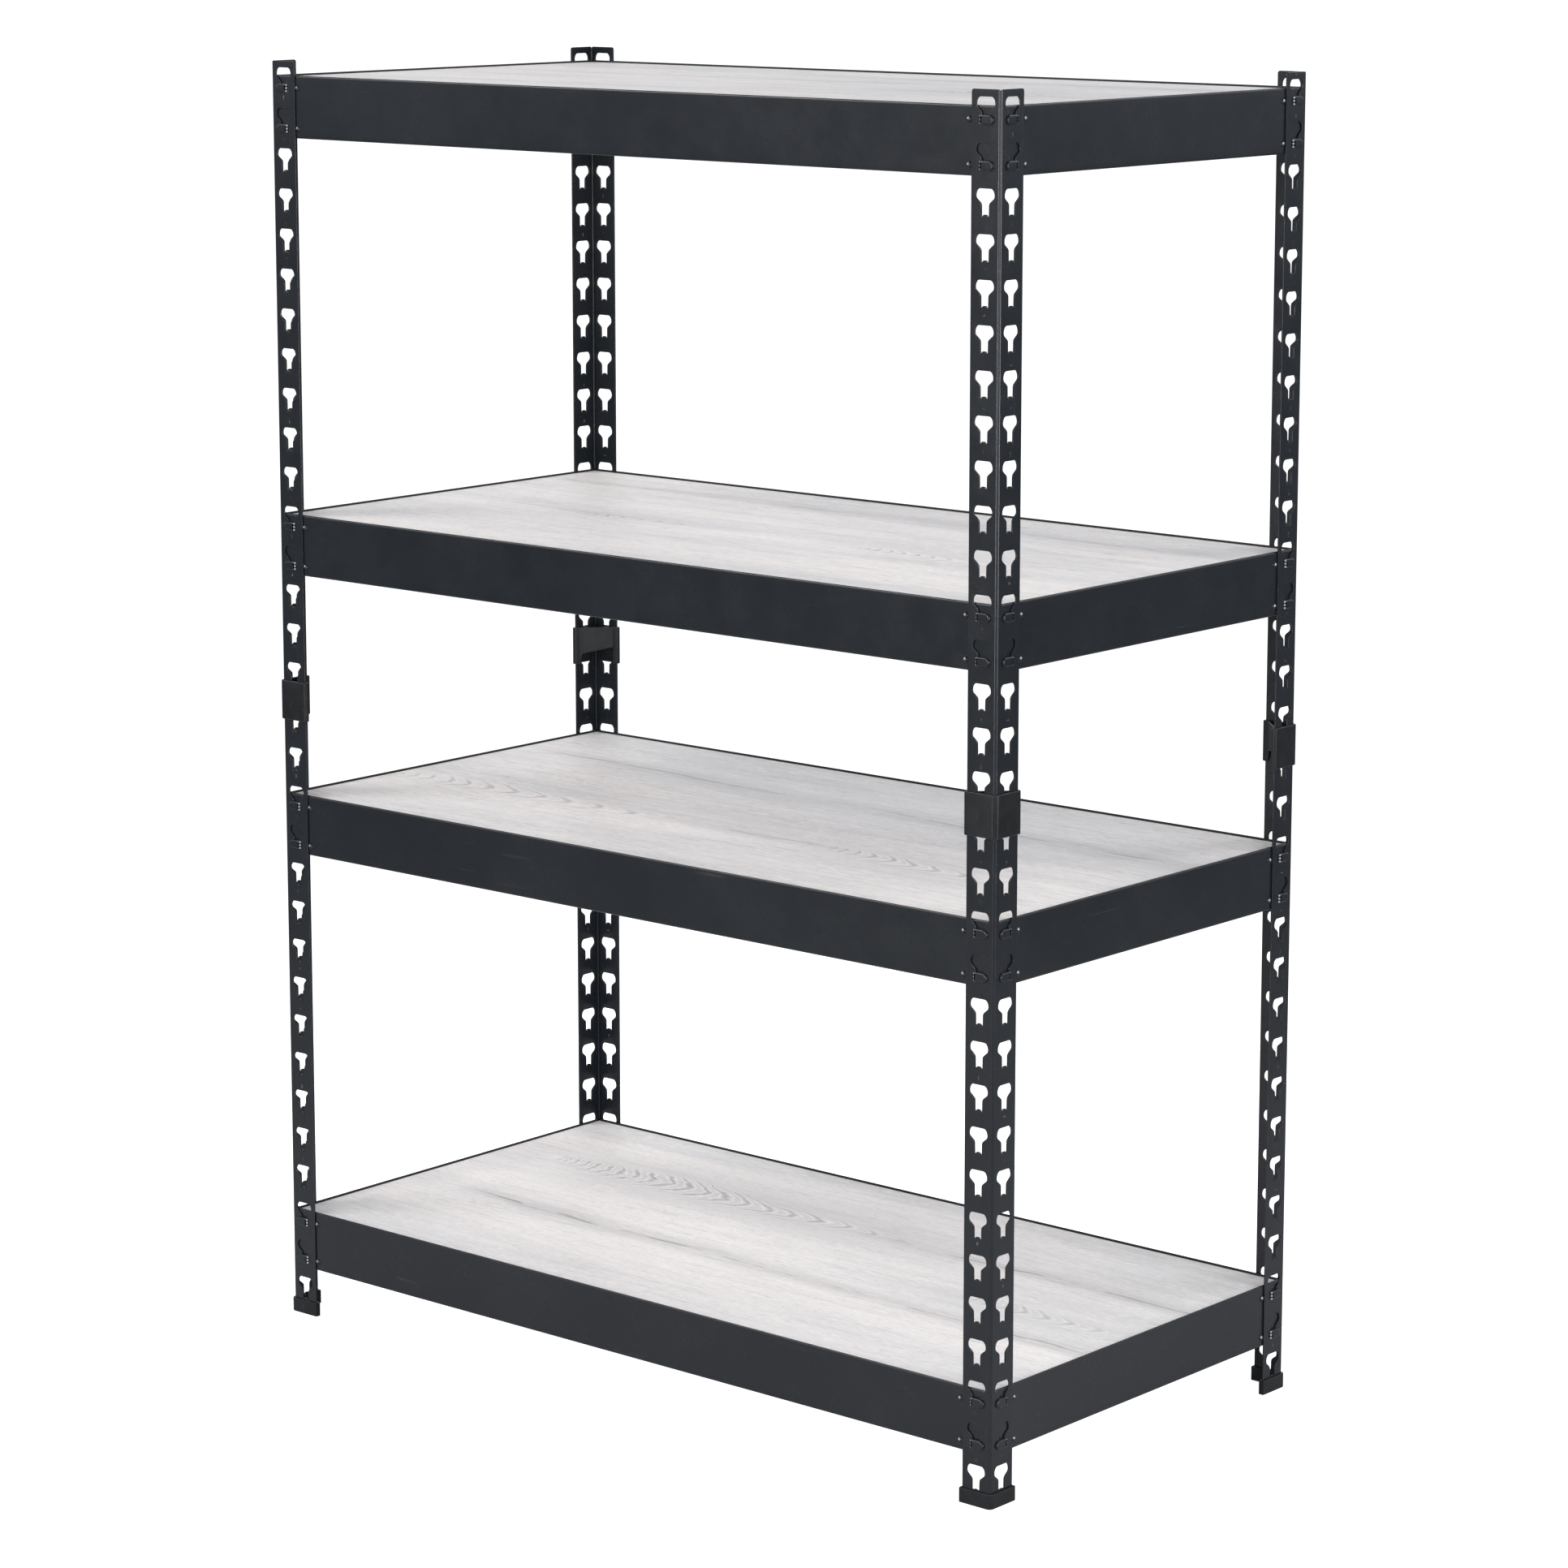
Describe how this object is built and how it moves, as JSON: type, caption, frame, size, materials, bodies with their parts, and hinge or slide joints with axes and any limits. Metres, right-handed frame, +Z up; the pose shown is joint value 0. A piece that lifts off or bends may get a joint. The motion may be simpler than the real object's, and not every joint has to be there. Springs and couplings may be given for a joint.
{
  "type": "boltless steel shelving",
  "caption": "Free-standing boltless shelving: keyholed steel angle posts in two halves with couplers and feet, hook-in beams, and loose boards on level ledges",
  "frame": {"origin": "on the floor, at the middle of the rectangle of the four posts", "axes": "+X along the long side to the right, +Y from the front to the back, +Z up"},
  "size_m": [1.2252, 0.6222, 1.7074],
  "materials": {
    "coated_steel": "dark charcoal powder coat on folded sheet steel, satin",
    "black_plastic": "moulded black polypropylene, satin",
    "laminate_board": "particle board faced in a pale grey oak-pattern laminate, grain along the length"
  },
  "bodies": {
    "lower_frame": {"front_left_foot": "black_plastic", "front_left_lower_post": "coated_steel", "front_left_coupler": "black_plastic", "front_right_foot": "black_plastic", "front_right_lower_post": "coated_steel", "front_right_coupler": "black_plastic", "rear_right_foot": "black_plastic", "rear_right_lower_post": "coated_steel", "rear_right_coupler": "black_plastic", "rear_left_foot": "black_plastic", "rear_left_lower_post": "coated_steel", "rear_left_coupler": "black_plastic"},
    "upper_frame": {"front_left_upper_post": "coated_steel", "front_right_upper_post": "coated_steel", "rear_right_upper_post": "coated_steel", "rear_left_upper_post": "coated_steel"},
    "level_1_beams": {"level_1_front_beam": "coated_steel", "level_1_rear_beam": "coated_steel", "level_1_left_beam": "coated_steel", "level_1_right_beam": "coated_steel"},
    "level_1_shelf": {"level_1_board": "laminate_board"},
    "level_2_beams": {"level_2_front_beam": "coated_steel", "level_2_rear_beam": "coated_steel", "level_2_left_beam": "coated_steel", "level_2_right_beam": "coated_steel"},
    "level_2_shelf": {"level_2_board": "laminate_board"},
    "level_3_beams": {"level_3_front_beam": "coated_steel", "level_3_rear_beam": "coated_steel", "level_3_left_beam": "coated_steel", "level_3_right_beam": "coated_steel"},
    "level_3_shelf": {"level_3_board": "laminate_board"},
    "level_4_beams": {"level_4_front_beam": "coated_steel", "level_4_rear_beam": "coated_steel", "level_4_left_beam": "coated_steel", "level_4_right_beam": "coated_steel"},
    "level_4_shelf": {"level_4_board": "laminate_board"}
  },
  "joints": [
    {"name": "upper_frame_lift", "type": "slide", "parent": "lower_frame", "child": "upper_frame", "axis": [0, 0, 1], "range_m": [0, 0.023]},
    {"name": "level_1_unhook", "type": "slide", "parent": "lower_frame", "child": "level_1_beams", "axis": [0, 0, 1], "range_m": [0, 0.018]},
    {"name": "level_2_unhook", "type": "slide", "parent": "lower_frame", "child": "level_2_beams", "axis": [0, 0, 1], "range_m": [0, 0.018]},
    {"name": "level_3_unhook", "type": "slide", "parent": "upper_frame", "child": "level_3_beams", "axis": [0, 0, 1], "range_m": [0, 0.018]},
    {"name": "level_4_unhook", "type": "slide", "parent": "upper_frame", "child": "level_4_beams", "axis": [0, 0, 1], "range_m": [0, 0.018]},
    {"name": "level_1_board_lift", "type": "slide", "parent": "level_1_beams", "child": "level_1_shelf", "axis": [0, 0, 1], "range_m": [0, 0.08]},
    {"name": "level_2_board_lift", "type": "slide", "parent": "level_2_beams", "child": "level_2_shelf", "axis": [0, 0, 1], "range_m": [0, 0.08]},
    {"name": "level_3_board_lift", "type": "slide", "parent": "level_3_beams", "child": "level_3_shelf", "axis": [0, 0, 1], "range_m": [0, 0.08]},
    {"name": "level_4_board_lift", "type": "slide", "parent": "level_4_beams", "child": "level_4_shelf", "axis": [0, 0, 1], "range_m": [0, 0.08]}
  ]
}
